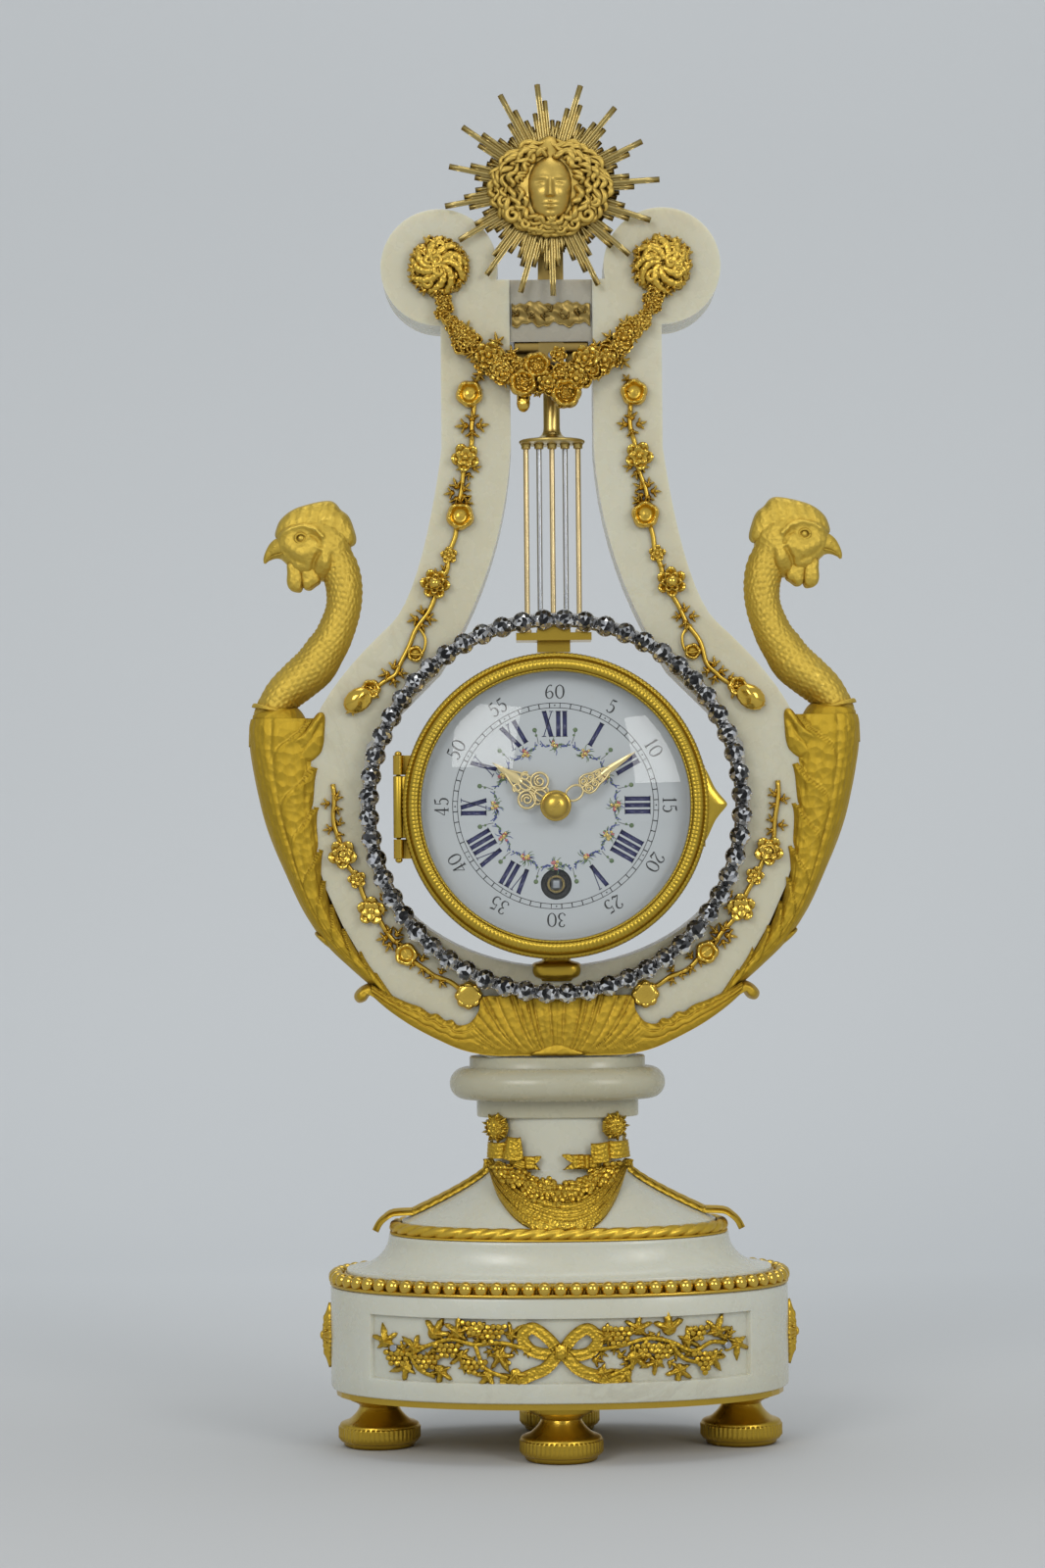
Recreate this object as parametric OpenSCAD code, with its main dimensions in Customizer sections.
// Lyre mantel clock: marble lyre on an oval pedestal, gilt mounts, ring pendulum round the dial.
// Millimetres. X runs to the right, the dial faces -Y, Z is up, origin under the middle of the base.

/* [Base] */
// Height of the turned feet
foot_h = 17; // [14:0.5:22]
// Widest radius of a foot
foot_r = 13; // [10:0.5:15]
// Distance of the side feet's centres from the plinth's ends
foot_end_in = 15; // [13:0.5:22]
// Distance of the front and back feet's centres from the plinth's edge
foot_edge_in = 14.5; // [13:0.5:20]
// Radius of a foot's stud
foot_stud_r = 2; // [1.5:0.1:3]
// Length of a foot's stud above the base plate
foot_stud_len = 9; // [5:0.5:12]
// Thickness of the base plate
plate_t = 2; // [1.5:0.1:4]
// Length of the plinth
plinth_len = 144; // [136:1:160]
// Depth of the plinth
plinth_depth = 91; // [86:1:100]
// Height of the plinth
plinth_h = 32; // [28:0.5:40]
// Length of the sunk front panel
panel_len = 117; // [100:1:124]
// Height of the sunk front panel
panel_h = 19.5; // [16:0.5:22]
// Depth of the sunk front panel
panel_sunk = 1.6; // [0.8:0.1:2.4]
// Height of the beaded band
band_h = 5; // [4:0.25:7]
// Width of the beaded band
band_w = 5; // [3.5:0.25:7]
// Height of the concave cap above the beaded band
cap_h = 11; // [8:0.5:16]
// Length of the cap's top
cap_top_len = 107; // [100:1:114]
// Depth of the cap's top
cap_top_depth = 69; // [64:1:74]
// Thickness of the rope band
rope_d = 4; // [3:0.25:5]
// Height of the bell-shaped pedestal
bell_h = 36.5; // [30:0.5:44]
// Height of the pedestal's flared skirt above the rope band
skirt_h = 16.5; // [12:0.5:22]
// Length of the pedestal's neck
neck_len = 41; // [36:0.5:46]
// Depth of the pedestal's neck
neck_depth = 27; // [24:0.5:30]
// Length of the capital's torus
torus_len = 68; // [62:0.5:76]
// Depth of the capital's torus
torus_depth = 46; // [42:0.5:50]
// Height of the capital's torus
torus_h = 10; // [8:0.5:13]
// How far the lower fillet stands inside the torus
fillet_in = 8.5; // [6:0.5:10]
// Height of the capital's lower fillet
fillet_h = 5.5; // [4:0.25:8]
// How far the top fillet stands inside the torus
abacus_in = 6.3; // [4:0.1:8]
// Height of the capital's top fillet
abacus_h = 3.5; // [2.5:0.25:6]
// Radius of the tie rod
tie_r = 2.5; // [2:0.1:3.5]

/* [Lyre] */
// Thickness of the marble lyre
lyre_t = 24; // [20:0.5:30]
// Width of the lyre's foot
lyre_foot_w = 42; // [36:0.5:46]
// Thickness of the bowl's wall at its widest
bowl_wall = 18; // [15:0.5:22]
// Height of the bowl's widest place above the lyre's foot
bowl_rise = 90; // [84:0.5:96]
// Width over the arms at the shoulder
shoulder_w = 102; // [96:0.5:108]
// Height of the shoulder above the lyre's foot
shoulder_rise = 136; // [130:0.5:142]
// Width over the straight arms
arms_w = 69.4; // [66:0.2:74]
// Gap between the straight arms
arms_gap = 26; // [25:0.2:28]
// Height where the arms become straight
arm_rise = 191; // [186:0.5:196]
// Radius of the scroll ends
scroll_r = 18.4; // [16:0.2:20]
// Distance of a scroll's centre from the middle
scroll_x = 35; // [33:0.2:38]
// Height of the scroll centres above the lyre's foot
scroll_rise = 248; // [244:0.5:252]
// How far the bowl's opening reaches beyond the ring's inner edge at the sides
bowl_room = 6; // [4:0.5:9]
// Height of the bracket between the bowl and the case drum
saddle_h = 5.5; // [4:0.25:8]
// Thickness of the bowl under the bracket
bowl_floor = 28; // [25:0.5:31]
// Height of the crossbar
crossbar_h = 19.5; // [16:0.5:24]
// Height of the crossbar's underside above the lyre's foot
crossbar_rise = 224.5; // [218:0.5:228]
// Thickness of the crossbar
crossbar_t = 22; // [18:0.5:24]

/* [Gilt mounts] */
// How far the leaf mounts stand proud of the marble faces
mount_proud = 3; // [2:0.1:3.2]
// Height of a sheath above the lyre's foot
sheath_rise = 108; // [100:1:114]
// Half width of a sheath at its top
sheath_half = 13.2; // [11:0.2:15]
// Height of a cock above its sheath
cock_h = 68.2; // [60:0.2:76]
// Drop of the garland's middle below the crossbar's underside
garland_sag = 13; // [9:0.5:16]
// Half height of the garland in its middle
garland_half_h = 8; // [6:0.5:10]
// Radius of the sun's longest rays
ray_r = 34.7; // [30:0.1:38]
// Number of ray clusters on the sun
ray_count = 16; // [12:1:20]
// Thickness of the ray plate
ray_t = 1.2; // [0.8:0.1:2]
// Radius of the sun's mask
mask_r = 15.5; // [12:0.5:18]
// Height of the sun's centre above the crossbar's top
sun_rise = 28.5; // [26:0.5:32]
// Radius of the rosettes
rosette_r = 10.5; // [8:0.25:12]
// Height of a rosette's crown
rosette_h = 6; // [4:0.25:8]

/* [Pendulum] */
// Drop of the suspension pin below the crossbar
pivot_drop = 4; // [3:0.25:6]
// Radius of the suspension pin
pivot_r = 1; // [0.8:0.05:1.4]
// Drop of the gridiron's head disc below the crossbar
head_drop = 31.5; // [28:0.5:36]
// Radius of the gridiron's head disc
head_r = 10.4; // [9.8:0.1:10.8]
// Radius of a gridiron rod
rod_r = 0.85; // [0.6:0.05:1.2]
// Distance between gridiron rods
rod_pitch = 4.1; // [3.6:0.1:4.4]
// Room between the case drum and the ring
ring_room = 10; // [8:0.25:12]
// Width of the ring
ring_w = 6.5; // [5.5:0.25:7.5]
// Thickness of the ring's frame
ring_t = 1.6; // [1:0.1:2]
// Number of brilliants on the ring
stone_count = 56; // [48:1:60]
// Height of a brilliant
stone_h = 3.2; // [2:0.1:3.6]

/* [Dial and case] */
// Outer radius of the case drum
drum_r = 45; // [44.5:0.25:46]
// Wall of the case drum
drum_wall = 1.5; // [1:0.1:2]
// How far the bezel stands out beyond the drum
bezel_over = 2.5; // [2:0.25:4]
// Width of the bezel's face
bezel_face = 5.1; // [4.6:0.1:6.5]
// Rise of the domed glass
glass_rise = 8.2; // [6:0.2:10]
// Thickness of the glass
glass_t = 1.5; // [1:0.1:2]
// Thickness of the dial
dial_t = 1.2; // [0.8:0.1:1.5]
// Radius of the dial's winding hole
wind_hole_r = 4.8; // [4:0.1:6]
// Room between the winding square's middle and the drum's wall
wind_room = 19.2; // [18.5:0.1:20]
// Length of the hour hand
hour_len = 23.7; // [20:0.1:26]
// Length of the minute hand
minute_len = 29.8; // [27:0.1:33]
// Radius of the hinge pins
hinge_pin_r = 0.8; // [0.6:0.05:1]

/* [Movement] */
// Room between the movement's rear plate and the drum's wall
rear_plate_room = 3.5; // [2:0.25:5]
// Radius of the wheel arbors
arbor_r = 1; // [0.8:0.05:1.2]
// Teeth of the great wheel on the barrel
great_teeth = 84; // [80:1:88]
// Teeth of the intermediate pinion
mid_pinion_teeth = 12; // [10:1:14]
// Teeth of the intermediate wheel
mid_teeth = 60; // [56:1:64]
// Teeth of the centre pinion
center_pinion_teeth = 10; // [10:1:12]
// Teeth of the centre wheel
center_teeth = 96; // [90:1:98]
// Leaves of the third and escape pinions
leaf_teeth = 8; // [8:1:10]
// Teeth of the third wheel
third_teeth = 96; // [90:1:98]
// Teeth of the escape wheel
escape_teeth = 30; // [24:1:36]
// Teeth of the cannon pinion
cannon_teeth = 12; // [10:1:14]
// Teeth of the minute wheel
minute_teeth = 36; // [30:1:42]
// Leaves of the minute pinion
minute_leaf_teeth = 10; // [10:1:12]
// Teeth of the hour wheel
hour_teeth = 40; // [38:1:44]

/* [Hidden] */
$fn = 64;
// Running clearance of a shaft in its hole
run_gap = 0.05;
// Gap between solids that only stand close to each other
stand_gap = 0.3;
// Cut overshoot
over = 1;

// Sizes of the case and of what goes round it, from the drum outwards
drum_in_r = drum_r - drum_wall;
rear_plate_r = drum_in_r - rear_plate_room;
wind_drop = drum_in_r - wind_room;
bezel_r = drum_r + bezel_over;
sight_r = bezel_r - bezel_face;
ring_in_r = drum_r + ring_room;
opening_w = 2 * (ring_in_r + bowl_room);
opening_drop = drum_r + saddle_h;
dial_rise = opening_drop + bowl_floor;
bowl_half = opening_w / 2 + bowl_wall;

// Levels of the base, from the floor up
plate_z = foot_h;
plinth_z = plate_z + plate_t;
band_z = plinth_z + plinth_h;
rope_z = band_z + band_h + cap_h;
capital_z = rope_z + bell_h;
torus_z = capital_z + fillet_h;
abacus_z = torus_z + torus_h;
lyre_z = abacus_z + abacus_h;
dial_z = lyre_z + dial_rise;
crossbar_z = lyre_z + crossbar_rise;
crossbar_top = crossbar_z + crossbar_h;
pivot_z = crossbar_z - pivot_drop;
sun_z = crossbar_top + sun_rise;
scroll_z = lyre_z + scroll_rise;

// Depths measured forwards from the lyre's middle plane
face = lyre_t / 2;
rod_plane = 4;
ring_back = face + mount_proud + 0.6;
stone_back = ring_back + ring_t;
ledge_back = stone_back + stone_h - 1.8;
plate_front = ledge_back - 0.1;
front_plate_t = 2;
ledge_len = 4.6;
dial_back = ledge_back + ledge_len;
drum_front = dial_back + dial_t + 0.2;
bezel_back = drum_front + stand_gap;
bezel_t = 6.5;
glass_seat = bezel_back + 3;
rear_plate_front = -10;
rear_plate_t = 2;
drum_back = -18;
door_t = 1.8;

// Outline helpers
oval_sides = 48;
// Below one, the ovals are a little fuller than an ellipse
fullness = 0.92;
function full(c) = pow(abs(c), fullness) * sign(c);
function oval_point(a, b, t) = [a * full(cos(t)), b * full(sin(t))];
function oval(a, b) = [for (i = [0 : oval_sides - 1]) oval_point(a, b, 360 * i / oval_sides)];
function bezier(p, steps) = [for (i = [1 : steps]) bezier_at(p, i / steps)];
function bezier_at(p, t) = pow(1 - t, 3) * p[0] + 3 * t * pow(1 - t, 2) * p[1]
    + 3 * t * t * (1 - t) * p[2] + pow(t, 3) * p[3];
function mirrored(points) = [for (i = [len(points) - 1 : -1 : 0]) [-points[i][0], points[i][1]]];
function spline_at(a, b, c, d, t) = 0.5 * (2 * b + (c - a) * t + (2 * a - 5 * b + 4 * c - d) * t * t
    + (3 * b - a - 3 * c + d) * t * t * t);
function clamp_index(points, i) = points[max(0, min(len(points) - 1, i))];
function smooth(points, steps) = concat([for (i = [0 : len(points) - 2]) for (k = [0 : steps - 1])
    spline_at(clamp_index(points, i - 1), points[i], points[i + 1], clamp_index(points, i + 2), k / steps)],
    [points[len(points) - 1]]);

// Skin over a stack of rings that all have the same number of points
module skin(rings) {
    sides = len(rings[0]);
    last = len(rings) - 1;
    points = [for (ring = rings) for (p = ring) p];
    walls = [for (r = [0 : last - 1]) for (s = [0 : sides - 1]) let (n = (s + 1) % sides)
        each [[r * sides + s, (r + 1) * sides + s, r * sides + n],
              [r * sides + n, (r + 1) * sides + s, (r + 1) * sides + n]]];
    bottom = [[for (s = [0 : sides - 1]) s]];
    top = [[for (s = [sides - 1 : -1 : 0]) last * sides + s]];
    polyhedron(points, concat(walls, bottom, top));
}

// Oval body from levels of [half length, half depth, height]
module oval_body(levels) {
    skin([for (l = levels) [for (p = oval(l[0], l[1])) [p[0], p[1], l[2]]]]);
}

// Oval band with a round section, open in the middle
module oval_band(a, b, width, height, z) {
    difference() {
        oval_body([for (t = [-90 : 30 : 90]) [a - (1 - cos(t)) * height / 2, b - (1 - cos(t)) * height / 2,
            z + height / 2 + sin(t) * height / 2]]);
        translate([0, 0, z - over]) linear_extrude(height + 2 * over) polygon(oval(a - width, b - width));
    }
}

// Tapering round-sided body along a path in the XZ plane, stations of [x, z, half width, half depth]
module swept(stations, sides) {
    last = len(stations) - 1;
    skin([for (i = [0 : last]) let (
            a = stations[max(0, i - 1)],
            b = stations[min(last, i + 1)],
            along = [b[0] - a[0], b[1] - a[1]] / norm([b[0] - a[0], b[1] - a[1]]),
            across = [along[1], -along[0]],
            s = stations[i])
        [for (k = [0 : sides - 1]) let (t = 360 * k / sides)
            [s[0] + across[0] * s[2] * cos(t), s[3] * sin(t), s[1] + across[1] * s[2] * cos(t)]]]);
}

// Places children drawn in the dial's plane: x right, y up, z towards the viewer
module on_dial() { translate([0, 0, dial_z]) rotate([90, 0, 0]) children(); }

// Flat shape in the XZ plane between two depths, the larger one nearer the viewer
module slab(back, front, z = 0) {
    translate([0, -back, z]) rotate([90, 0, 0]) linear_extrude(front - back) children();
}

module tube(r_out, r_in, back, front) {
    translate([0, 0, back]) difference() {
        cylinder(r = r_out, h = front - back);
        translate([0, 0, -over]) cylinder(r = r_in, h = front - back + 2 * over);
    }
}

// Base

module foot() {
    flange_r = foot_r * 0.77;
    neck_r = foot_r * 0.47;
    rotate_extrude() polygon([[0, 0], [foot_r - 2, 0], [foot_r - 1, foot_h * 0.1], [foot_r, foot_h * 0.14],
        [foot_r, foot_h * 0.4], [foot_r - 1, foot_h * 0.45], [neck_r + 2, foot_h * 0.55],
        [neck_r, foot_h * 0.66], [neck_r + 0.6, foot_h * 0.78], [flange_r, foot_h * 0.9], [flange_r, foot_h],
        [0, foot_h]]);
    translate([0, 0, foot_h - over]) cylinder(r = foot_stud_r, h = plate_t + foot_stud_len + over);
}

foot_side = plinth_len / 2 - foot_end_in;
foot_front = plinth_depth / 2 - foot_edge_in;
foot_places = [[foot_side, 0], [-foot_side, 0], [0, foot_front], [0, -foot_front]];

module foot_holes(z, h) {
    for (p = foot_places) translate([p[0], p[1], z]) cylinder(r = foot_stud_r + run_gap, h = h);
}

module feet() {
    color("goldenrod") for (p = foot_places) translate([p[0], p[1], 0]) foot();
}

plate_in = 1.5;
nut_well_r = 8;
nut_well_h = 10;

module base_plate() {
    color("goldenrod") translate([0, 0, plate_z]) difference() {
        linear_extrude(plate_t) polygon(oval(plinth_len / 2 - plate_in, plinth_depth / 2 - plate_in));
        foot_holes(-over, plate_t + 2 * over);
        translate([0, 0, -over]) cylinder(r = nut_well_r, h = plate_t + 2 * over);
    }
}

module tie_hole(z, h) { translate([0, 0, z]) cylinder(r = tie_r + run_gap, h = h); }

panel_z = plinth_z + plinth_h / 2;

module plinth_block(inset) {
    translate([0, 0, plinth_z]) linear_extrude(plinth_h)
        polygon(oval(plinth_len / 2 - inset, plinth_depth / 2 - inset));
}

module panel_window() {
    translate([-panel_len / 2, -plinth_depth, panel_z - panel_h / 2])
        cube([panel_len, plinth_depth, panel_h]);
}

module plinth() {
    color("ivory") difference() {
        plinth_block(0);
        difference() {
            panel_window();
            plinth_block(panel_sunk);
        }
        foot_holes(plinth_z - over, foot_stud_len + 0.5 + over);
        translate([0, 0, plinth_z - over]) cylinder(r = nut_well_r, h = nut_well_h + over);
        tie_hole(plinth_z, plinth_h + over);
    }
}

module plinth_bead_band() {
    color("gold") oval_band(plinth_len / 2 + 0.8, plinth_depth / 2 + 0.8, band_w + 0.8, band_h, band_z);
}

cap_a = plinth_len / 2 - band_w - run_gap;
cap_b = plinth_depth / 2 - band_w - run_gap;

module plinth_cap() {
    color("ivory") difference() {
        oval_body(concat([[cap_a, cap_b, band_z], [cap_a, cap_b, band_z + band_h]],
            [for (k = [1 : 5]) let (t = 18 * k, s = 1 - cos(t))
                [cap_a + (cap_top_len / 2 - cap_a) * sin(t), cap_b + (cap_top_depth / 2 - cap_b) * sin(t),
                 band_z + band_h + cap_h * s]]));
        tie_hole(band_z - over, rope_z - band_z + 2 * over);
    }
}

module rope_band() {
    color("gold") oval_band(cap_top_len / 2, cap_top_depth / 2, rope_d, rope_d, rope_z);
}

bell_a = cap_top_len / 2 - rope_d - run_gap;
bell_b = cap_top_depth / 2 - rope_d - run_gap;

skirt_curve = 1.3;
skirt_steps = 8;

// Bell levels: straight beside the rope band, a slightly hollow skirt, then a straight neck
function bell_levels(grow) = concat([[bell_a + grow, bell_b + grow, rope_z]],
    [for (k = [0 : skirt_steps]) let (flare = pow(1 - k / skirt_steps, skirt_curve))
        [neck_len / 2 + (bell_a - neck_len / 2) * flare + grow,
         neck_depth / 2 + (bell_b - neck_depth / 2) * flare + grow,
         rope_z + rope_d + skirt_h * k / skirt_steps]],
    [[neck_len / 2 + grow, neck_depth / 2 + grow, capital_z]]);

module pedestal() {
    color("ivory") difference() {
        oval_body(bell_levels(0));
        tie_hole(rope_z - over, bell_h + 2 * over);
    }
}

module capital() {
    a = torus_len / 2;
    b = torus_depth / 2;
    round_r = torus_h / 2;
    color("ivory") difference() {
        oval_body(concat([[a - fillet_in, b - fillet_in, capital_z], [a - fillet_in, b - fillet_in, torus_z]],
            [for (t = [-90 : 30 : 90]) [a - round_r + round_r * cos(t), b - round_r + round_r * cos(t),
                torus_z + round_r + round_r * sin(t)]],
            [[a - abacus_in, b - abacus_in, abacus_z], [a - abacus_in, b - abacus_in, lyre_z]]));
        tie_hole(capital_z - over, lyre_z - capital_z + 2 * over);
    }
}

tie_low = plinth_z + 2;
tie_grip = 12;

module tie_rod() {
    color("gray") translate([0, 0, tie_low]) cylinder(r = tie_r, h = lyre_z + tie_grip - tie_low);
}

module tie_nut() {
    nut_h = 4;
    washer_t = 1;
    seat = plinth_z + nut_well_h;
    color("gray") difference() {
        union() {
            translate([0, 0, seat - washer_t]) cylinder(r = nut_well_r - 1, h = washer_t);
            translate([0, 0, seat - washer_t - nut_h]) cylinder(r = tie_r * 2, h = nut_h + 0.01, $fn = 6);
        }
        tie_hole(seat - washer_t - nut_h - over, nut_h + washer_t + 2 * over);
    }
}

// Mounts of the base

frieze_t = 2.6;
frieze_len = panel_len - 6;

module plinth_skin(grow) {
    difference() {
        plinth_block(panel_sunk - grow);
        plinth_block(panel_sunk);
    }
}

module frieze_outline() {
    leaves = 9;
    step = frieze_len / 2 / (leaves + 0.5);
    for (side = [-1, 1]) for (i = [1 : leaves])
        translate([side * i * step, 2.6 * cos(180 * i)]) circle(r = i == leaves ? 3 : 4.2, $fn = 24);
    for (side = [-1, 1]) translate([side * 4, 1]) circle(r = 5.5, $fn = 24);
    translate([-step * leaves, -1.5]) square([2 * step * leaves, 3]);
}

screw_x = frieze_len / 2 - 5;
screw_r = 1.1;

module frieze_mount() {
    color("gold") difference() {
        intersection() {
            plinth_skin(frieze_t);
            slab(0, plinth_depth, panel_z) frieze_outline();
        }
        for (side = [-1, 1]) slab(0, plinth_depth, panel_z) translate([side * screw_x, 0])
            circle(r = screw_r + run_gap, $fn = 24);
    }
}

module frieze_screws() {
    color("gray") for (side = [-1, 1]) intersection() {
        plinth_skin(frieze_t + 0.6);
        slab(0, plinth_depth, panel_z) translate([side * screw_x, 0]) circle(r = screw_r, $fn = 24);
    }
}

lozenge_h = 20;
lozenge_w = 13;
lozenge_t = 4;

module end_lozenges() {
    color("gold") for (side = [0, 1]) mirror([side, 0, 0]) difference() {
        translate([plinth_len / 2 - 3, 0, panel_z]) rotate([90, 0, 90]) linear_extrude(lozenge_t + 3)
            polygon([[0, -lozenge_h / 2], [lozenge_w / 2, 0], [0, lozenge_h / 2], [-lozenge_w / 2, 0]]);
        plinth_block(0);
    }
}

swag_t = 3.4;
swag_w = neck_len + 4;

module swag_outline() {
    half = swag_w / 2;
    low = rope_d + 0.5;
    top = bell_h - 1;
    hem = [[0.3, low], [0.55, low + 1], [0.76, top * 0.28], [0.91, top * 0.42], [1, top * 0.6]];
    polygon(concat([[half, top], [half - 7, top], [half - 8, top * 0.7], [half * 0.5, top * 0.55],
        [0, top * 0.48], [-half * 0.5, top * 0.55], [8 - half, top * 0.7], [7 - half, top], [-half, top]],
        [for (i = [4 : -1 : 0]) [-half * hem[i][0], hem[i][1]]],
        [for (p = hem) [half * p[0], p[1]]]));
}

module pedestal_swag() {
    color("gold") difference() {
        intersection() {
            oval_body(bell_levels(swag_t));
            slab(0, plinth_depth, rope_z) swag_outline();
        }
        oval_body(bell_levels(0));
    }
}

strap_t = 2;
strap_w = 8;
strap_reach = 4.5;

// Tip of a strap, from the bell's foot over the rope band
module strap_tip() {
    rim = cap_top_len / 2;
    top = rope_z + rope_d + stand_gap;
    slab(-strap_w / 2, strap_w / 2) polygon([[bell_a - strap_t, top], [rim, top],
        [rim + strap_reach - strap_t, rope_z - strap_t / 4], [rim + strap_reach, rope_z],
        [rim + strap_t, top + strap_t / 2], [bell_a + strap_t, top + strap_t],
        [bell_a - strap_t, top + strap_t]]);
}

module pedestal_straps() {
    color("gold") for (side = [0, 1]) mirror([side, 0, 0]) difference() {
        union() {
            intersection() {
                oval_body(bell_levels(strap_t));
                translate([swag_w / 2 + 1, -strap_w / 2, rope_z + rope_d + stand_gap])
                    cube([plinth_len, strap_w, skirt_h]);
            }
            strap_tip();
        }
        oval_body(bell_levels(0));
    }
}

// Lyre

lyre_steps = 10;
wall_x = opening_w / 2 - 2;
wall_rise = dial_rise + 19.5;
throat_x = 36;
throat_rise = shoulder_rise - 15;

// Right half of the lyre in x and height above its foot: up the outside, down the inside
outer_edge = concat([[lyre_foot_w / 2, 0]],
    bezier([[lyre_foot_w / 2, 0], [50, 6], [bowl_half, bowl_rise - 42], [bowl_half, bowl_rise]],
        lyre_steps),
    bezier([[bowl_half, bowl_rise], [bowl_half, bowl_rise + 18], [shoulder_w / 2 + 13, shoulder_rise - 12],
        [shoulder_w / 2, shoulder_rise]], lyre_steps),
    bezier([[shoulder_w / 2, shoulder_rise], [shoulder_w / 2 - 8, shoulder_rise + 7.5],
        [arms_w / 2 + 2.8, arm_rise - 21], [arms_w / 2, arm_rise]], lyre_steps));
inner_edge = concat([[arms_gap / 2, arm_rise]],
    bezier([[arms_gap / 2, arm_rise], [arms_gap / 2 + 1.5, arm_rise - 25], [throat_x - 14, throat_rise + 22],
        [throat_x, throat_rise]], lyre_steps),
    [[wall_x, wall_rise]]);
opening_edge = [for (i = [0 : 2 * lyre_steps]) let (t = 90 * i / (2 * lyre_steps))
    [opening_w / 2 * cos(t), dial_rise - opening_drop * sin(t)]];
arm_top = crossbar_rise + crossbar_h;
lyre_half = concat(outer_edge, [[arms_w / 2, arm_top], [arms_gap / 2, arm_top]], inner_edge, opening_edge);

module lyre_outline() {
    polygon(concat(lyre_half, [for (i = [len(lyre_half) - 2 : -1 : 0]) [-lyre_half[i][0], lyre_half[i][1]]]));
    for (side = [-1, 1]) translate([side * scroll_x, scroll_rise]) circle(r = scroll_r);
}

module lyre_block() { slab(-face, face, lyre_z) lyre_outline(); }

module lyre_frame() {
    color("ivory") difference() {
        lyre_block();
        tie_hole(lyre_z - over, tie_grip + 0.5 + over);
    }
}

module crossbar() {
    color("ivory") translate([-arms_gap / 2 + run_gap, -crossbar_t / 2, crossbar_z])
        cube([arms_gap - 2 * run_gap, crossbar_t, crossbar_h]);
}

// Mounts of the lyre

leaf_tip_x = 64;
leaf_tip_rise = 21;
leaf_top = 18;

module acanthus_outline() {
    half = concat([[lyre_foot_w / 2 + 1, 0.2]],
        bezier([[lyre_foot_w / 2 + 1, 0.2], [leaf_tip_x * 0.55, leaf_top * 0.13],
            [leaf_tip_x * 0.75, leaf_top * 0.54], [leaf_tip_x * 0.92, leaf_tip_rise - 2]], 6),
        [[leaf_tip_x * 0.945, leaf_tip_rise - 3.6], [leaf_tip_x * 0.98, leaf_tip_rise - 4],
         [leaf_tip_x, leaf_tip_rise - 2.5], [leaf_tip_x * 0.997, leaf_tip_rise - 0.7],
         [leaf_tip_x * 0.967, leaf_tip_rise + 1.1], [leaf_tip_x * 0.905, leaf_tip_rise + 2.6],
         [leaf_tip_x * 0.835, leaf_top + 2.3], [leaf_tip_x * 0.73, leaf_top - 0.4],
         [leaf_tip_x * 0.62, leaf_top - 3.6], [leaf_tip_x * 0.48, leaf_top - 7.6],
         [leaf_tip_x * 0.4, leaf_top - 5], [leaf_tip_x * 0.37, leaf_top + 1],
         [leaf_tip_x * 0.2, leaf_top + 3], [leaf_tip_x * 0.08, leaf_top]]);
    polygon(concat(half, mirrored(half)));
}

module acanthus_base() {
    color("gold") difference() {
        slab(-face - mount_proud, face + mount_proud, lyre_z) acanthus_outline();
        lyre_block();
    }
}

// Right sheath from its tip up: distance from the bowl's widest place and half width as shares of the top's
// half width, height as a share of the whole, and how much thinner than its thickest place
sheath_shape = [[-1.6667, 0.2222, 0.3333, -0.6], [-0.7576, 0.3519, 0.4242, -0.2], [-0.2652, 0.463, 0.5303, 0],
    [0.0758, 0.6111, 0.6818, 0], [0.3409, 0.787, 0.8712, 0], [0.4924, 0.9259, 1, 0],
    [0.4924, 1, 1, 0]];
sheath_stations = [for (s = sheath_shape) [bowl_half + s[0] * sheath_half, s[1] * sheath_rise,
    s[2] * sheath_half, face + mount_proud + s[3]]];

module sheath() {
    color("gold") difference() {
        intersection() {
            translate([0, 0, lyre_z]) swept(smooth(sheath_stations, 3), 20);
            translate([0, -lyre_t, lyre_z]) cube([2 * bowl_half, 2 * lyre_t, sheath_rise]);
        }
        lyre_block();
        acanthus_clear();
    }
}

// Room kept by the sheath for the tips of the acanthus base
module acanthus_clear() {
    slab(-lyre_t, lyre_t, lyre_z) acanthus_outline();
}

module sheath_right() { sheath(); }

module sheath_left() { mirror([1, 0, 0]) sheath(); }

// Right cock in shares of its height, x from the bowl's widest place: up the neck, over the head, out to the
// beak, each with half width and half depth
cock_shape = [[0.1525, -0.066, 0.0938, 0.129], [0.1349, 0.0367, 0.085, 0.1232],
    [0.0894, 0.1041, 0.0894, 0.1202], [0.0205, 0.1657, 0.0968, 0.1158],
    [-0.0484, 0.2273, 0.0997, 0.11], [-0.0953, 0.2962, 0.0938, 0.1041],
    [-0.1378, 0.3651, 0.0865, 0.0997], [-0.1848, 0.4985, 0.0806, 0.0909],
    [-0.1877, 0.6026, 0.085, 0.088], [-0.1554, 0.698, 0.0938, 0.0909],
    [-0.0806, 0.7713, 0.1202, 0.0938], [0.0073, 0.7918, 0.1114, 0.088],
    [0.0792, 0.783, 0.0733, 0.0674], [0.1232, 0.7669, 0.0425, 0.0425],
    [0.1584, 0.7419, 0.0235, 0.0235], [0.1804, 0.7126, 0.0073, 0.0073]];
comb_shape = [[0.1217, 0.8475], [0.1144, 0.89], [0.085, 0.9311], [0.0352, 0.9633], [-0.0308, 0.9853],
    [-0.088, 1], [-0.132, 1], [-0.1569, 0.9853], [-0.176, 0.956], [-0.2111, 0.9267],
    [-0.2331, 0.8768], [-0.2478, 0.8109], [-0.2229, 0.7669], [-0.132, 0.7331], [0.044, 0.7918]];
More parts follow.
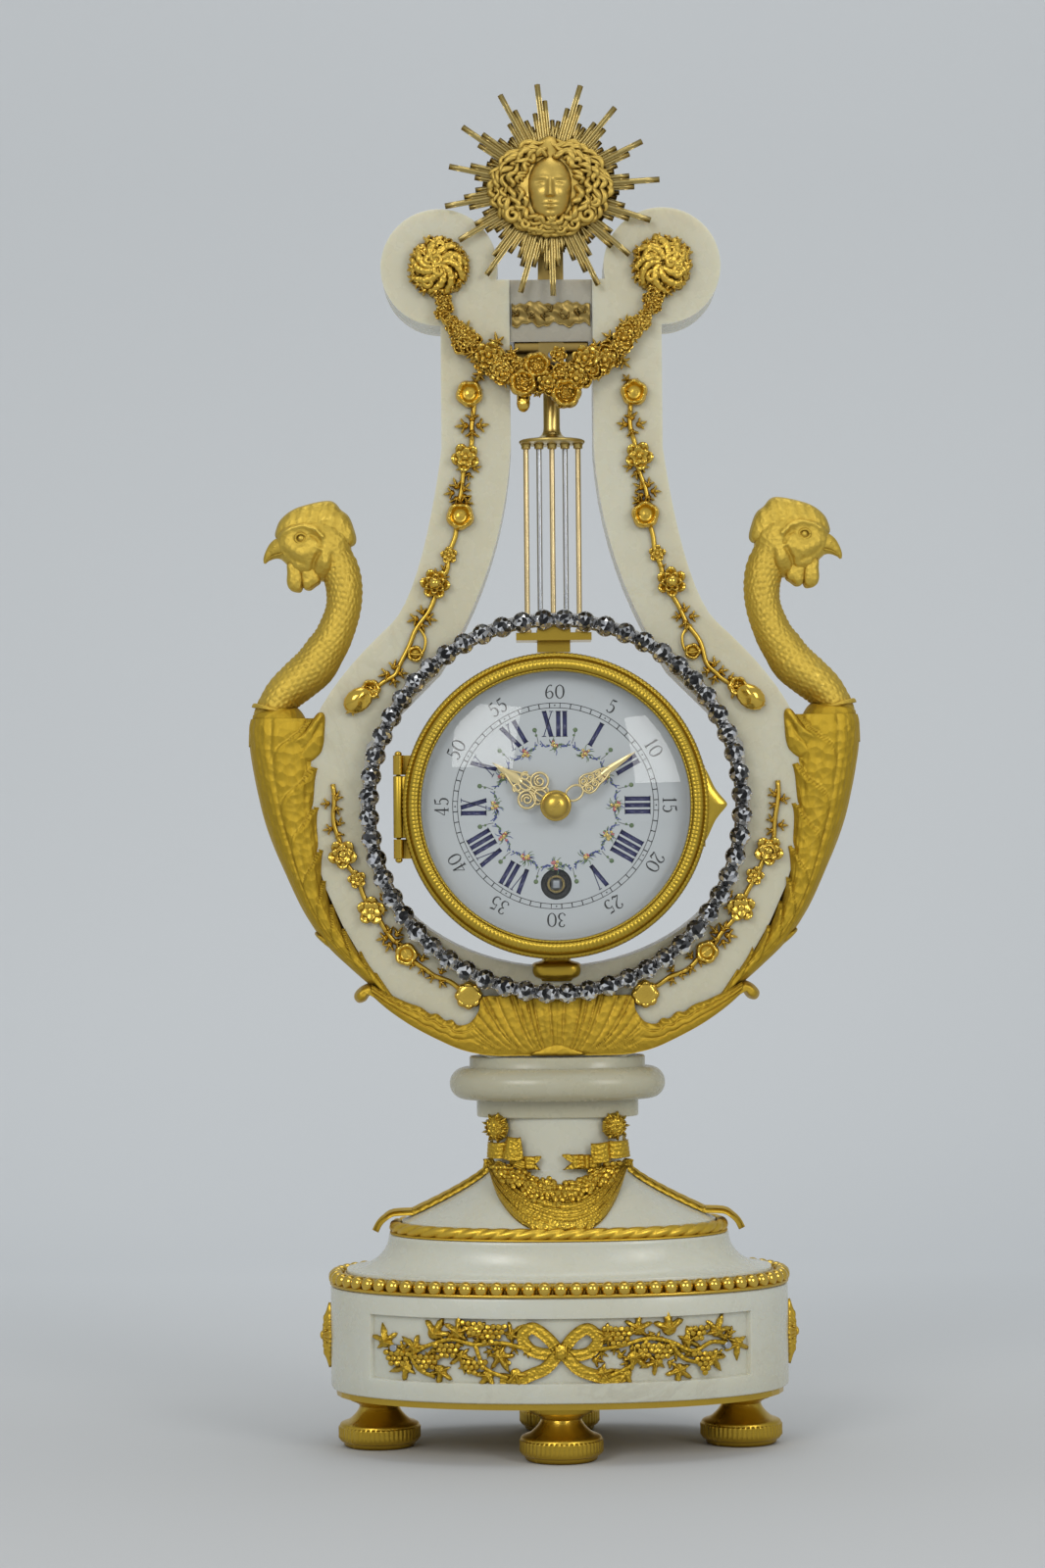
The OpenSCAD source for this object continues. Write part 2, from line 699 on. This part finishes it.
wattle_shape = [[0.0674, 0.695], [0.0645, 0.6584], [0.0718, 0.6158], [0.0645, 0.5865], [0.0205, 0.5762],
    [-0.0308, 0.5821], [-0.0587, 0.6012], [-0.0953, 0.6232], [-0.0953, 0.7331], [0.044, 0.7331]];
comb_t = 6.5;
wattle_t = 2;

function beside_bowl(shape) = [for (p = shape) [bowl_half + p[0] * cock_h, p[1] * cock_h]];

module cock() {
    base = lyre_z + sheath_rise;
    stations = [for (s = cock_shape) [bowl_half, 0, 0, 0] + s * cock_h];
    color("gold") {
        intersection() {
            translate([0, 0, base]) swept(smooth(stations, 2), 16);
            translate([0, -lyre_t, base]) cube([2 * bowl_half, 2 * lyre_t, cock_h + over]);
        }
        slab(-comb_t / 2, comb_t / 2, base) polygon(beside_bowl(comb_shape));
        for (side = [-1, 1]) translate([0, side * (wattle_t / 2 + 1.2), 0])
            slab(-wattle_t / 2, wattle_t / 2, base) polygon(beside_bowl(wattle_shape));
    }
}

module cock_right() { cock(); }

module cock_left() { mirror([1, 0, 0]) cock(); }

module dome(r, h) {
    ball = (r * r + h * h) / (2 * h);
    intersection() {
        translate([0, 0, h - ball]) sphere(r = ball);
        cylinder(r = r + over, h = h + over);
    }
}

module rosettes() {
    color("gold") for (side = [-1, 1]) translate([side * scroll_x, -face, scroll_z]) rotate([90, 0, 0]) {
        dome(rosette_r, rosette_h);
        cylinder(r = rosette_r - 2, h = 1.4);
    }
}

garland_d = 3.2;

// Garland from below a rosette to its middle: shares of the way in and down, of its middle's half height and
// of its depth
garland_shape = [[1, 0, 0.3, 0.75], [0.87, 0.306, 0.4, 1], [0.677, 0.551, 0.5, 1], [0.387, 0.796, 0.675, 1]];
garland_end = [scroll_x - 4, scroll_z - rosette_r - 1.5];
garland_low = crossbar_z - garland_sag;

function garland_station(side, s) = [side * s[0] * garland_end[0],
    garland_end[1] + (garland_low - garland_end[1]) * s[1], garland_half_h * s[2], garland_d * s[3]];

module top_garland() {
    left = [for (s = garland_shape) garland_station(-1, s)];
    right = [for (i = [len(garland_shape) - 1 : -1 : 0]) garland_station(1, garland_shape[i])];
    stations = concat(left, [[0, garland_low, garland_half_h, garland_d + 1]], right);
    color("gold") translate([0, -face - garland_d - 1.05, 0]) difference() {
        swept(smooth(stations, 3), 12);
        translate([-bowl_half, 1 + garland_d, 0]) cube([2 * bowl_half, lyre_t, 2 * scroll_z]);
    }
}

// Right trails: x as a share of the bowl's half width, height as a share of the crossbar's
arm_trail = [[0.2785, 0.953], [0.2911, 0.89], [0.3481, 0.7929], [0.3924, 0.6771],
    [0.5063, 0.5969], [0.5823, 0.5523], [0.7215, 0.4989]];
bowl_trail = [[0.8797, 0.3831], [0.8418, 0.2895], [0.7595, 0.2227], [0.6329, 0.1604],
    [0.5063, 0.1247], [0.3544, 0.0913]];
trail_w = 1.4;
trail_leaf_r = 3.4;

module trail(path) {
    depth = mount_proud - 0.6;
    leaves = smooth([for (p = path) [p[0] * bowl_half, p[1] * crossbar_rise]], 2);
    stations = [for (p = leaves) [p[0], lyre_z + p[1], trail_w, depth]];
    intersection() {
        union() {
            translate([0, -face, 0]) swept(stations, 8);
            for (i = [1 : 2 : len(leaves) - 1]) translate([leaves[i][0] + (i % 4 == 1 ? 2.2 : -2.2), -face,
                lyre_z + leaves[i][1]]) rotate([90, 30 * i, 0])
                cylinder(r = trail_leaf_r, h = depth - 0.4, $fn = 5);
        }
        translate([0, -face - lyre_t, 0]) cube([2 * bowl_half, lyre_t, 2 * scroll_z]);
    }
}

module vine_trails() {
    color("gold") for (side = [0, 1]) mirror([side, 0, 0]) {
        trail(arm_trail);
        trail(bowl_trail);
    }
}

bar_mount_h = 7.5;
bar_mount_t = 2;

module crossbar_mount() {
    end_x = arms_gap / 2 - 0.6;
    color("gold") slab(crossbar_t / 2, crossbar_t / 2 + bar_mount_t, crossbar_z + 5)
        polygon([[-end_x, 0], [-4, 0.8], [0, 0], [6, 0.4], [8, 2.4], [end_x, 2.8], [end_x, bar_mount_h],
            [-2, bar_mount_h - 1], [-4, 4.6], [-end_x, 5]]);
}

sun_back = face + 2.6;
sun_boss_r = 4;
ray_w = 1.5;

module ray(length, width) {
    root = mask_r * 0.5;
    polygon([[root, -width / 2 - 0.6], [length, -width / 2], [length, width / 2], [root, width / 2 + 0.6]]);
}

module sun_rays() {
    step = 360 / ray_count;
    color("gold") slab(sun_back, sun_back + ray_t, sun_z) {
        circle(r = mask_r);
        for (i = [0 : ray_count - 1]) rotate(90 + i * step) {
            ray(ray_r, ray_w);
            for (side = [-1, 1]) rotate(side * step * 0.2) ray(ray_r * 0.78, ray_w);
            rotate(step * 0.42) ray(ray_r * 0.62, ray_w);
        }
    }
}

mask_h = 9;

module sun_mask() {
    color("gold") translate([0, -sun_back - ray_t, sun_z]) rotate([90, 0, 0]) {
        dome(mask_r, mask_h);
        translate([0, -1.5, mask_h - 3.2]) dome(mask_r * 0.55, 4.2);
    }
}

post_w = 8;
post_t = 2;

module sun_post() {
    color("goldenrod") {
        translate([-post_w / 2, -crossbar_t / 2, crossbar_top]) cube([post_w, post_t, sun_rise]);
        translate([-post_w / 2, -crossbar_t / 2, crossbar_top]) cube([post_w, crossbar_t / 2, post_t]);
        translate([0, -crossbar_t / 2 + post_t, sun_z]) rotate([90, 0, 0])
            cylinder(r = sun_boss_r, h = sun_back - crossbar_t / 2 + post_t);
    }
}

// Pendulum

cock_w = 8;
cheek_t = 3;
spring_d = 6;
cheek_back = rod_plane - spring_d / 2 - cheek_t;
cheek_front = rod_plane + spring_d / 2 + cheek_t;
chop_w = 4;
spring_t = 0.6;
head_z = crossbar_z - head_drop;
head_t = 1.5;
stem_r = 2.6;
stem_top = pivot_z - 10;
spring_low = stem_top - 4;

module suspension_cock() {
    color("goldenrod") difference() {
        translate([-cock_w / 2, -cheek_front, pivot_z - 2.5])
            cube([cock_w, cheek_front - cheek_back, crossbar_z - pivot_z + 2.5]);
        translate([-cock_w, -rod_plane - spring_d / 2, pivot_z - 2.5 - over])
            cube([2 * cock_w, spring_d, crossbar_z - pivot_z + 1.5 + over]);
        translate([0, -cheek_back + over, pivot_z]) rotate([90, 0, 0])
            cylinder(r = pivot_r + run_gap, h = cheek_front - cheek_back + 2 * over);
    }
}

module suspension_spring() {
    chop_d = spring_d - 2 * stand_gap;
    color("gray") {
        translate([0, -cheek_back - 0.4, pivot_z]) rotate([90, 0, 0])
            cylinder(r = pivot_r, h = cheek_front - cheek_back - 0.8);
        translate([-chop_w / 2, -rod_plane - chop_d / 2, pivot_z - 3.5]) cube([chop_w, chop_d, 5.5]);
        translate([-spring_t / 2, -rod_plane - chop_d / 2 + 0.6, spring_low])
            cube([spring_t, chop_d - 1.2, pivot_z - spring_low]);
    }
}

module gridiron_head() {
    color("goldenrod") translate([0, -rod_plane, 0]) difference() {
        union() {
            translate([0, 0, head_z]) cylinder(r = head_r, h = head_t);
            translate([0, 0, head_z]) cylinder(r = stem_r, h = stem_top - head_z);
        }
        translate([-spring_t / 2 - run_gap, -spring_d / 2, spring_low - run_gap])
            cube([spring_t + 2 * run_gap, spring_d, stem_top - spring_low + over]);
    }
}

bar_top = dial_z + ring_in_r - 0.7;
bar_t = 2.4;
bar_w = 23.6;
yoke_w = 10.4;
yoke_h = 3.3;
yoke_d = 5;

module rod(i) {
    translate([i * rod_pitch, -rod_plane, bar_top]) cylinder(r = rod_r, h = head_z - bar_top, $fn = 24);
}

module brass_rods() { color("gold") for (i = [-2, 0, 2]) rod(i); }

module steel_rods() { color("silver") for (i = [-1, 1]) rod(i); }

crutch_r = 1;
// Side room of the crutch in the yoke, for the tilt between them at the end of a swing
crutch_play = 0.8;
crutch_top = bar_top - bar_t - 1;

module gridiron_foot() {
    tab_front = ring_back;
    tab_t = 1.5;
    slot_w = 2 * (crutch_r + crutch_play);
    color("gold") difference() {
        union() {
            translate([-bar_w / 2, -tab_front, bar_top - bar_t])
                cube([bar_w, tab_front - rod_plane + yoke_d / 2, bar_t]);
            translate([-yoke_w / 2, -tab_front, bar_top - bar_t]) cube([yoke_w, tab_t, bar_t + ring_w * 0.8]);
            translate([-yoke_w / 2, -rod_plane - yoke_d / 2, bar_top - bar_t - yoke_h])
                cube([yoke_w, yoke_d, yoke_h + bar_t]);
        }
        translate([-slot_w / 2, -rod_plane - crutch_r - stand_gap, bar_top - bar_t - yoke_h - over])
            cube([slot_w, 2 * (crutch_r + stand_gap), yoke_h + over - 0.4]);
    }
}

module ring_frame() {
    color("silver") on_dial() tube(ring_in_r + ring_w, ring_in_r, ring_back, stone_back);
}

stone_r = min(ring_w / 2, (ring_in_r + ring_w / 2) * sin(180 / stone_count) - 0.05);

module ring_stones() {
    color("lightgray") on_dial() for (i = [0 : stone_count - 1]) rotate(360 * (i + 0.5) / stone_count)
        translate([ring_in_r + ring_w / 2, 0, stone_back]) {
            cylinder(r = stone_r, h = stone_h / 2, $fn = 12);
            translate([0, 0, stone_h / 2]) cylinder(r = stone_r * 0.6, h = stone_h / 2, $fn = 12);
        }
}

// Case

ledge_in_r = drum_in_r - 2;
knuckle_r = hinge_pin_r + 0.8;
front_pin_x = -bezel_r - 1.1;
front_pin_depth = bezel_back + 1.4;
front_hinge_h = 32;
front_leaf_h = 19.4;
back_pin_x = drum_r + 1.6;
back_pin_depth = drum_back - stand_gap - door_t / 2;
back_hinge_h = 26;
back_leaf_h = 15.4;
lug_t = 3;

// Upright knuckle on a hinge line, drawn in the dial's frame
module knuckle(x, depth, r, low, high) {
    translate([x, high, depth]) rotate([90, 0, 0]) cylinder(r = r, h = high - low);
}

// Box in the dial's frame between two corners
module box(low, high) { translate(low) cube(high - low); }

module drum_hinge(x, depth, leaf_h, hinge_h, near, root_depth, rim_depth) {
    side = sign(x);
    low = leaf_h / 2 + stand_gap;
    high = hinge_h / 2;
    for (up = [0, 1]) mirror([0, up, 0]) {
        knuckle(x, depth, knuckle_r, low, high);
        box([min(side * near, x + side * knuckle_r), low, min(root_depth, depth)],
            [max(side * near, x + side * knuckle_r), high, max(root_depth, depth)]);
        box([min(side * (drum_r - 5), x + side * knuckle_r), low, min(root_depth, rim_depth)],
            [max(side * (drum_r - 5), x + side * knuckle_r), high, max(root_depth, rim_depth)]);
    }
}

module drum() {
    slot_w = 9;
    color("gold") on_dial() difference() {
        union() {
            cylinder_between(drum_r, drum_back, drum_front);
            drum_hinge(front_pin_x, front_pin_depth, front_leaf_h, front_hinge_h, bezel_r - 0.6,
                drum_front - lug_t, drum_front);
            drum_hinge(back_pin_x, back_pin_depth, back_leaf_h, back_hinge_h, drum_r + 0.3,
                drum_back + lug_t, drum_back);
        }
        cylinder_between(drum_in_r, drum_back - over, ledge_back);
        cylinder_between(ledge_in_r, drum_back - over, drum_front + over);
        cylinder_between(drum_in_r, dial_back, drum_front + over);
        box([-slot_w / 2, drum_r - 4, rod_plane - 2], [slot_w / 2, drum_r + over, rod_plane + 2]);
        knuckle(front_pin_x, front_pin_depth, hinge_pin_r + run_gap, -front_hinge_h, front_hinge_h);
        knuckle(back_pin_x, back_pin_depth, hinge_pin_r + run_gap, -back_hinge_h, back_hinge_h);
    }
}

module cylinder_between(r, back, front) { translate([0, 0, back]) cylinder(r = r, h = front - back); }

module hinge_pins() {
    color("goldenrod") on_dial() {
        knuckle(front_pin_x, front_pin_depth, hinge_pin_r, -front_hinge_h / 2 - 0.5, front_hinge_h / 2 + 0.5);
        knuckle(back_pin_x, back_pin_depth, hinge_pin_r, -back_hinge_h / 2 - 0.5, back_hinge_h / 2 + 0.5);
    }
}

saddle_w = 17;
saddle_drop = 4.3;

module drum_bracket() {
    color("gold") difference() {
        on_dial() {
            box([-saddle_w / 2, -opening_drop - over, rear_plate_front], [saddle_w / 2, 2 - drum_r, face]);
            translate([0, 0, face - over]) linear_extrude(mount_proud - 0.4 + over)
                polygon([[-saddle_w / 2, 2 - drum_r], [-saddle_w / 2, -opening_drop], [-saddle_w / 4,
                    -opening_drop - saddle_drop], [saddle_w / 4, -opening_drop - saddle_drop],
                    [saddle_w / 2, -opening_drop], [saddle_w / 2, 2 - drum_r]]);
        }
        on_dial() cylinder_between(drum_r, drum_back, drum_front);
        lyre_block();
    }
}

rebate_r = sight_r + 1.1;
clasp_reach = 5.5;
clasp_h = 26;
clasp_t = 3;

module clasp_outline() {
    polygon([[sight_r + 2, -clasp_h / 2], [bezel_r - 0.5, 3 - clasp_h / 2], [bezel_r + 2, -clasp_h * 0.19],
        [bezel_r + clasp_reach, 0], [bezel_r + 2, clasp_h * 0.19], [bezel_r - 0.5, clasp_h / 2 - 3],
        [sight_r + 2, clasp_h / 2]]);
}

module bezel() {
    color("gold") on_dial() difference() {
        union() {
            cylinder_between(bezel_r, bezel_back, bezel_back + bezel_t);
            knuckle(front_pin_x, front_pin_depth, knuckle_r, -front_leaf_h / 2, front_leaf_h / 2);
            box([front_pin_x, -front_leaf_h / 2, bezel_back],
                [1 - sight_r, front_leaf_h / 2, front_pin_depth + 1]);
            translate([0, 0, bezel_back + 0.6]) linear_extrude(clasp_t) clasp_outline();
        }
        cylinder_between(sight_r, bezel_back - over, bezel_back + bezel_t + over);
        cylinder_between(rebate_r, bezel_back - over, glass_seat);
        knuckle(front_pin_x, front_pin_depth, hinge_pin_r + run_gap, -front_hinge_h, front_hinge_h);
    }
}

flange_t = 1.5;

module glass() {
    rim_r = sight_r - run_gap;
    ball = (rim_r * rim_r + glass_rise * glass_rise) / (2 * glass_rise);
    heart = glass_seat + glass_rise - ball;
    color("white", 0.3) on_dial() {
        tube(rebate_r - run_gap, rim_r - 2, glass_seat - flange_t, glass_seat - run_gap);
        intersection() {
            difference() {
                translate([0, 0, heart]) sphere(r = ball);
                translate([0, 0, heart]) sphere(r = ball - glass_t);
            }
            cylinder_between(rim_r, glass_seat - flange_t, glass_seat + glass_rise + over);
        }
    }
}

hour_pipe_r = 2.3;
minute_pipe_r = 1.5;
wind_r = 2;
wind_square = 3.2;

module dial() {
    color("white") on_dial() difference() {
        cylinder_between(drum_in_r - 0.1, dial_back, dial_back + dial_t);
        cylinder_between(hour_pipe_r + 0.6, dial_back - over, dial_back + dial_t + over);
        translate([0, -wind_drop, 0])
            cylinder_between(wind_hole_r, dial_back - over, dial_back + dial_t + over);
    }
}

// Time shown
shown_hour = 10;
shown_minute = 9.4;
hand_t = 0.8;
hour_back = dial_back + dial_t + 1.8;
minute_back = hour_back + 1.6;
nut_back = minute_back + hand_t;
nut_r = 4.8;
nut_h = 3.6;

// Hub, blade and three pairs of pierced scrolls, pointing along y
module hand(length, bore_r, hub_r, spread) {
    blade = 0.8;
    wall = 0.7;
    color("gold") difference() {
        union() {
            cylinder(r = hub_r, h = hand_t);
            linear_extrude(hand_t) polygon([[-blade, 0], [-blade, length * 0.86], [0, length],
                [blade, length * 0.86], [blade, 0]]);
            for (side = [-1, 1]) for (k = [0 : 2]) let (r = spread + 0.3 - 0.4 * k)
                translate([side * (r + 0.2), hub_r + 2.4 + k * 4, 0]) tube(r, r - wall, 0, hand_t);
        }
        translate([0, 0, -over]) cylinder(r = bore_r, h = hand_t + 2 * over);
    }
}

module hour_hand() {
    on_dial() rotate(-30 * (shown_hour + shown_minute / 60)) translate([0, 0, hour_back])
        hand(hour_len, hour_pipe_r + run_gap, hour_pipe_r + 1.2, 2);
}

module minute_hand() {
    on_dial() rotate(-6 * shown_minute) translate([0, 0, minute_back])
        hand(minute_len, minute_pipe_r + run_gap, minute_pipe_r + 1.4, 1.7);
}

module hand_nut() {
    color("gold") on_dial() difference() {
        translate([0, 0, nut_back]) dome(nut_r, nut_h);
        cylinder_between(arbor_r + run_gap, nut_back - over, nut_back + nut_h - 1);
    }
}

// Movement

front_plate_back = plate_front - front_plate_t;
rear_plate_back = rear_plate_front - rear_plate_t;
pivot_pin_r = 0.6;
stud_r = 0.8;
pillar_r = 2;
pillar_ring = rear_plate_r - 4;
pillar_turns = [125, 168, 315, 350];

// Tooth sizes of each meshing pair
great_mod = 0.4;
mid_mod = 0.52;
train_mod = 0.34;
motion_span = 12;
cannon_mod = 2 * motion_span / (cannon_teeth + minute_teeth);
hour_mod = 2 * motion_span / (minute_leaf_teeth + hour_teeth);

function ray_at(r, t) = r * [cos(t), sin(t)];
function span(m, a, b) = m * (a + b) / 2;
function turn_to(p, q) = atan2(q[1] - p[1], q[0] - p[0]);
// Corner of a triangle at the given distances from p and q, to the left of the line from p to q
function corner(p, q, from_p, from_q) = let (
    base = norm(q - p),
    u = (q - p) / base,
    reach = (from_p * from_p - from_q * from_q + base * base) / (2 * base),
    rise = sqrt(from_p * from_p - reach * reach))
    p + u * reach + [-u[1], u[0]] * rise;

// Places of the arbors in the dial's plane
center_at = [0, 0];
barrel_at = [0, -wind_drop];
escape_at = [0, 19.5];
pallet_at = [0, 33];
mid_at = corner(barrel_at, center_at, span(great_mod, great_teeth, mid_pinion_teeth),
    span(mid_mod, mid_teeth, center_pinion_teeth));
third_at = corner(escape_at, center_at, span(train_mod, third_teeth, leaf_teeth),
    span(train_mod, center_teeth, leaf_teeth));
motion_at = motion_span * [cos(45), sin(45)];

// Toothed disc with narrow teeth, one of them pointing along x before it is turned
module gear(teeth, m, turn, back, front) {
    r = m * teeth / 2;
    step = 360 / teeth;
    shape = [[r - 1.2 * m, -0.22], [r, -0.19], [r + 0.8 * m, -0.08], [r + 0.8 * m, 0.08], [r, 0.19],
        [r - 1.2 * m, 0.22]];
    rotate(turn) translate([0, 0, back]) linear_extrude(front - back)
        polygon([for (i = [0 : teeth - 1]) for (s = shape) ray_at(s[0], (i + s[1]) * step)]);
}

// Turn of a driven gear so that a gap between its teeth faces the driver at p
function gap_turn(p, q, teeth) = turn_to(q, p) + 180 / teeth;

module wheel(teeth, m, turn, back) { gear(teeth, m, turn, back, back + wheel_t); }

module pinion(teeth, m, turn, back) {
    gear(teeth, m, turn, back - pinion_over, back + wheel_t + pinion_over);
}

module arbor(back, front) {
    cylinder_between(arbor_r, back, front);
    cylinder_between(pivot_pin_r, rear_plate_back + 0.2, front_plate_back + front_plate_t - 0.2);
}

inner_back = rear_plate_front + stand_gap;
inner_front = front_plate_back - stand_gap;

module at(p) { translate([p[0], p[1], 0]) children(); }

module pivot_holes(back, front) {
    for (p = [mid_at, third_at, escape_at, pallet_at]) at(p)
        cylinder_between(pivot_pin_r + run_gap, back, front);
    cylinder_between(arbor_r + run_gap, back, front);
    at(barrel_at) cylinder_between(wind_r + run_gap, back, front);
}

module front_plate() {
    color("goldenrod") on_dial() {
        difference() {
            cylinder_between(drum_in_r - run_gap, front_plate_back, plate_front);
            pivot_holes(front_plate_back - over, plate_front + over);
        }
        at(motion_at) cylinder_between(stud_r, plate_front - 0.5, dial_back - 0.6);
    }
}

module rear_plate() {
    color("goldenrod") on_dial() difference() {
        cylinder_between(rear_plate_r, rear_plate_back, rear_plate_front);
        pivot_holes(rear_plate_back - over, rear_plate_front + over);
    }
}

module plate_pillars() {
    color("goldenrod") on_dial() for (t = pillar_turns) rotate(t) translate([pillar_ring, 0, 0])
        cylinder_between(pillar_r, rear_plate_front, front_plate_back);
}

// Where each layer of the train starts, and how thick its wheels and pinions are
great_back = 2;
mid_back = -3;
center_back = -6.4;
third_back = 6;
wheel_t = 1.2;
pinion_over = 0.4;
barrel_r = 15.5;
barrel_wall = 1.2;
barrel_front = inner_front - 2;

module barrel() {
    color("goldenrod") on_dial() at(barrel_at) difference() {
        union() {
            wheel(great_teeth, great_mod, turn_to(barrel_at, mid_at), great_back);
            cylinder_between(barrel_r, great_back + wheel_t - 0.1, barrel_front);
        }
        cylinder_between(wind_r + run_gap, great_back - over, inner_front);
        tube(barrel_r - barrel_wall, wind_r + barrel_wall, great_back + wheel_t + barrel_wall,
            barrel_front - barrel_wall);
    }
}

module winding_arbor() {
    color("gray") on_dial() at(barrel_at) {
        cylinder_between(wind_r, rear_plate_back + 0.2, plate_front + 0.5);
        translate([-wind_square / 2, -wind_square / 2, plate_front])
            cube([wind_square, wind_square, ledge_len]);
    }
}

module mid_arbor() {
    color("goldenrod") on_dial() at(mid_at) {
        arbor(inner_back, inner_front);
        pinion(mid_pinion_teeth, great_mod, gap_turn(barrel_at, mid_at, mid_pinion_teeth), great_back);
        wheel(mid_teeth, mid_mod, turn_to(mid_at, center_at), mid_back);
    }
}

module center_arbor() {
    color("goldenrod") on_dial() {
        cylinder_between(arbor_r, rear_plate_back + 0.2, nut_back + nut_h - 1.4);
        pinion(center_pinion_teeth, mid_mod, gap_turn(mid_at, center_at, center_pinion_teeth), mid_back);
        wheel(center_teeth, train_mod, turn_to(center_at, third_at), center_back);
    }
}

module third_arbor() {
    color("goldenrod") on_dial() at(third_at) {
        arbor(inner_back, inner_front);
        pinion(leaf_teeth, train_mod, gap_turn(center_at, third_at, leaf_teeth), center_back);
        wheel(third_teeth, train_mod, turn_to(third_at, escape_at), third_back);
    }
}

escape_r = 8.5;
escape_back = -1;

module escape_arbor() {
    step = 360 / escape_teeth;
    root = escape_r - 1.8;
    color("goldenrod") on_dial() at(escape_at) {
        arbor(inner_back, inner_front);
        pinion(leaf_teeth, train_mod, gap_turn(third_at, escape_at, leaf_teeth), third_back);
        translate([0, 0, escape_back]) linear_extrude(wheel_t) polygon([for (i = [0 : escape_teeth - 1])
            each [ray_at(escape_r, i * step), ray_at(root, (i + 0.35) * step),
                  ray_at(root, (i + 0.7) * step)]]);
    }
}

module pallet_crutch() {
    crutch_len = crutch_top - dial_z - pallet_at[1];
    color("gray") on_dial() at(pallet_at) {
        arbor(inner_back, inner_front);
        translate([0, 0, escape_back - 0.2]) linear_extrude(wheel_t + 0.4) polygon([[-7, -4.8], [-5.6, -5],
            [-2, -1.4], [2, -1.4], [5.6, -5], [7, -4.8], [3, 2], [-3, 2]]);
        translate([0, 0, rod_plane]) rotate([-90, 0, 0]) cylinder(r = crutch_r, h = crutch_len);
        cylinder_between(arbor_r + 1, rod_plane - crutch_r - 0.5, rod_plane + crutch_r + 0.5);
    }
}

layer = 1.4;
motion_back = plate_front + 0.4;
hour_wheel_back = motion_back + layer + 0.6;

module cannon_pinion() {
    color("goldenrod") on_dial() difference() {
        union() {
            gear(cannon_teeth, cannon_mod, turn_to(center_at, motion_at), motion_back, motion_back + layer);
            cylinder_between(minute_pipe_r, motion_back, minute_back + hand_t - run_gap);
        }
        cylinder_between(arbor_r + run_gap, motion_back - over, nut_back + over);
    }
}

module minute_wheel() {
    color("goldenrod") on_dial() at(motion_at) difference() {
        union() {
            gear(minute_teeth, cannon_mod, gap_turn(center_at, motion_at, minute_teeth), motion_back,
                motion_back + layer);
            gear(minute_leaf_teeth, hour_mod, turn_to(motion_at, center_at), motion_back + layer - 0.1,
                hour_wheel_back + layer);
        }
        cylinder_between(stud_r + run_gap, motion_back - over, dial_back);
    }
}

module hour_wheel() {
    color("goldenrod") on_dial() difference() {
        union() {
            gear(hour_teeth, hour_mod, gap_turn(motion_at, center_at, hour_teeth), hour_wheel_back,
                hour_wheel_back + layer);
            cylinder_between(hour_pipe_r, hour_wheel_back, hour_back + hand_t);
        }
        cylinder_between(minute_pipe_r + run_gap, hour_wheel_back - over, hour_back + hand_t + over);
    }
}

module rear_door() {
    door_back = drum_back - stand_gap - door_t;
    color("gold") on_dial() difference() {
        union() {
            cylinder_between(drum_r, door_back, door_back + door_t);
            knuckle(back_pin_x, back_pin_depth, knuckle_r, -back_leaf_h / 2, back_leaf_h / 2);
            box([drum_r - 4, -back_leaf_h / 2, door_back], [back_pin_x, back_leaf_h / 2, door_back + door_t]);
            translate([-drum_r + 6, 0, 0]) cylinder_between(2, door_back - 2.5, door_back + 0.1);
        }
        knuckle(back_pin_x, back_pin_depth, hinge_pin_r + run_gap, -back_hinge_h, back_hinge_h);
    }
}

feet();
base_plate();
plinth();
plinth_bead_band();
plinth_cap();
rope_band();
pedestal();
capital();
tie_rod();
tie_nut();
frieze_mount();
frieze_screws();
end_lozenges();
pedestal_swag();
pedestal_straps();
lyre_frame();
crossbar();
acanthus_base();
sheath_left();
sheath_right();
cock_left();
cock_right();
rosettes();
top_garland();
vine_trails();
crossbar_mount();
sun_rays();
sun_mask();
sun_post();
suspension_cock();
suspension_spring();
gridiron_head();
brass_rods();
steel_rods();
gridiron_foot();
ring_frame();
ring_stones();
drum();
hinge_pins();
drum_bracket();
bezel();
glass();
dial();
hour_hand();
minute_hand();
hand_nut();
front_plate();
rear_plate();
plate_pillars();
barrel();
winding_arbor();
mid_arbor();
center_arbor();
third_arbor();
escape_arbor();
pallet_crutch();
cannon_pinion();
minute_wheel();
hour_wheel();
rear_door();
